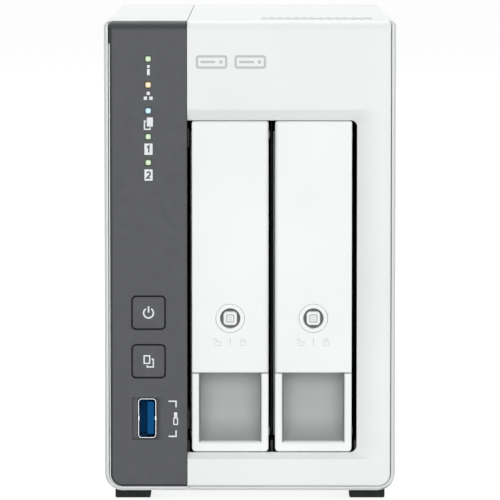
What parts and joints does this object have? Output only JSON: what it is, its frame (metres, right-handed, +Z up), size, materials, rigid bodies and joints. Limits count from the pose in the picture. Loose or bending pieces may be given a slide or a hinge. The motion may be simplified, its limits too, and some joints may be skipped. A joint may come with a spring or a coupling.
{
  "type": "network attached storage",
  "caption": "White desktop storage tower with slide-out hard drive trays behind hinged locking handles and a dark control strip with lights and buttons.",
  "frame": {"origin": "centre of the footprint, on the plane that the feet stand on", "axes": "+Z up; the front with its drive trays faces -Y; +X is to the right of someone looking at the front"},
  "size_m": [0.102, 0.219, 0.1685],
  "materials": {
    "case_white": "fine satin moulded plastic, warm white",
    "tray_white": "fine satin moulded plastic, white",
    "charcoal": "satin dark grey moulded plastic",
    "led_green": "clear light pipe lit green",
    "led_amber": "clear light pipe lit amber",
    "led_cyan": "clear light pipe lit cyan",
    "circuit_board": "glass-fibre board with green solder mask",
    "plated_steel": "plated steel",
    "connector_blue": "blue moulded plastic",
    "dark_steel": "black coated sheet steel",
    "tray_grey": "satin grey moulded plastic",
    "black_plastic": "satin black moulded plastic",
    "drive_aluminium": "cast and machined aluminium",
    "heat_sink_aluminium": "clear anodised extrusion",
    "rear_panel_paint": "powder-coated sheet steel, off-white",
    "foot_rubber": "dark rubber"
  },
  "bodies": {
    "case": {"left_cover": "case_white", "right_cover": "case_white", "front_bezel": "case_white", "control_panel": "charcoal", "led_status": "led_green", "led_drive_1": "led_green", "led_drive_2": "led_green", "led_network": "led_amber", "led_usb": "led_cyan", "front_board": "circuit_board", "main_board": "circuit_board", "backplane_board": "circuit_board", "front_usb_shell": "plated_steel", "lan_jack_1": "plated_steel", "lan_jack_2": "plated_steel", "rear_usb_1": "plated_steel", "rear_usb_2": "plated_steel", "fan_screw_1": "plated_steel", "fan_screw_2": "plated_steel", "fan_screw_3": "plated_steel", "fan_screw_4": "plated_steel", "case_screw_1": "plated_steel", "case_screw_2": "plated_steel", "chassis_base": "plated_steel", "front_usb_core": "connector_blue", "cage_left": "dark_steel", "cage_right": "dark_steel", "cage_top": "dark_steel", "cage_bottom": "dark_steel", "cage_divider": "dark_steel", "power_jack": "black_plastic", "fan_frame": "black_plastic", "heat_sink": "heat_sink_aluminium", "rear_panel": "rear_panel_paint", "foot_front_left": "foot_rubber", "foot_front_right": "foot_rubber", "foot_rear_left": "foot_rubber", "foot_rear_right": "foot_rubber"},
    "tray_1": {"tray_carrier_1": "tray_grey", "tray_front_1": "tray_white", "hard_drive_1": "drive_aluminium", "upper_drive_strip_1": "black_plastic", "lower_drive_strip_1": "black_plastic", "handle_pin_1": "plated_steel", "handle_spring_1": "plated_steel"},
    "handle_1": {"tray_handle_1": "tray_white"},
    "lock_1": {"tray_lock_1": "tray_white"},
    "tray_2": {"tray_carrier_2": "tray_grey", "tray_front_2": "tray_white", "hard_drive_2": "drive_aluminium", "upper_drive_strip_2": "black_plastic", "lower_drive_strip_2": "black_plastic", "handle_pin_2": "plated_steel", "handle_spring_2": "plated_steel"},
    "handle_2": {"tray_handle_2": "tray_white"},
    "lock_2": {"tray_lock_2": "tray_white"},
    "power_key": {"power_button": "charcoal"},
    "copy_key": {"copy_button": "charcoal"},
    "reset_key": {"reset_button": "black_plastic"},
    "fan": {"fan_rotor": "black_plastic"}
  },
  "joints": [
    {"name": "tray_1_slide", "type": "slide", "parent": "case", "child": "tray_1", "axis": [0, -1, 0], "range_m": [0, 0.14]},
    {"name": "tray_1_handle_hinge", "type": "hinge", "parent": "tray_1", "child": "handle_1", "pos_m": [-0.00695, -0.1049, 0.1312], "axis": [-1, 0, 0], "range_deg": [0, 70], "stiffness_Nm_per_rad": 0.02},
    {"name": "tray_1_lock_turn", "type": "hinge", "parent": "handle_1", "child": "lock_1", "pos_m": [-0.00695, -0.1045, 0.0642], "axis": [0, 1, 0], "range_deg": [0, 90]},
    {"name": "tray_2_slide", "type": "slide", "parent": "case", "child": "tray_2", "axis": [0, -1, 0], "range_m": [0, 0.14]},
    {"name": "tray_2_handle_hinge", "type": "hinge", "parent": "tray_2", "child": "handle_2", "pos_m": [0.02225, -0.1049, 0.1312], "axis": [-1, 0, 0], "range_deg": [0, 70], "stiffness_Nm_per_rad": 0.02},
    {"name": "tray_2_lock_turn", "type": "hinge", "parent": "handle_2", "child": "lock_2", "pos_m": [0.02225, -0.1045, 0.0642], "axis": [0, 1, 0], "range_deg": [0, 90]},
    {"name": "power_button_press", "type": "slide", "parent": "case", "child": "power_key", "axis": [0, 1, 0], "range_m": [0, 0.001], "stiffness_N_per_m": 300},
    {"name": "copy_button_press", "type": "slide", "parent": "case", "child": "copy_key", "axis": [0, 1, 0], "range_m": [0, 0.001], "stiffness_N_per_m": 300},
    {"name": "reset_button_press", "type": "slide", "parent": "case", "child": "reset_key", "axis": [0, -1, 0], "range_m": [0, 0.0006], "stiffness_N_per_m": 300},
    {"name": "fan_spin", "type": "hinge", "parent": "case", "child": "fan", "pos_m": [0.009, 0.094, 0.126], "axis": [0, 1, 0], "continuous": true}
  ]
}
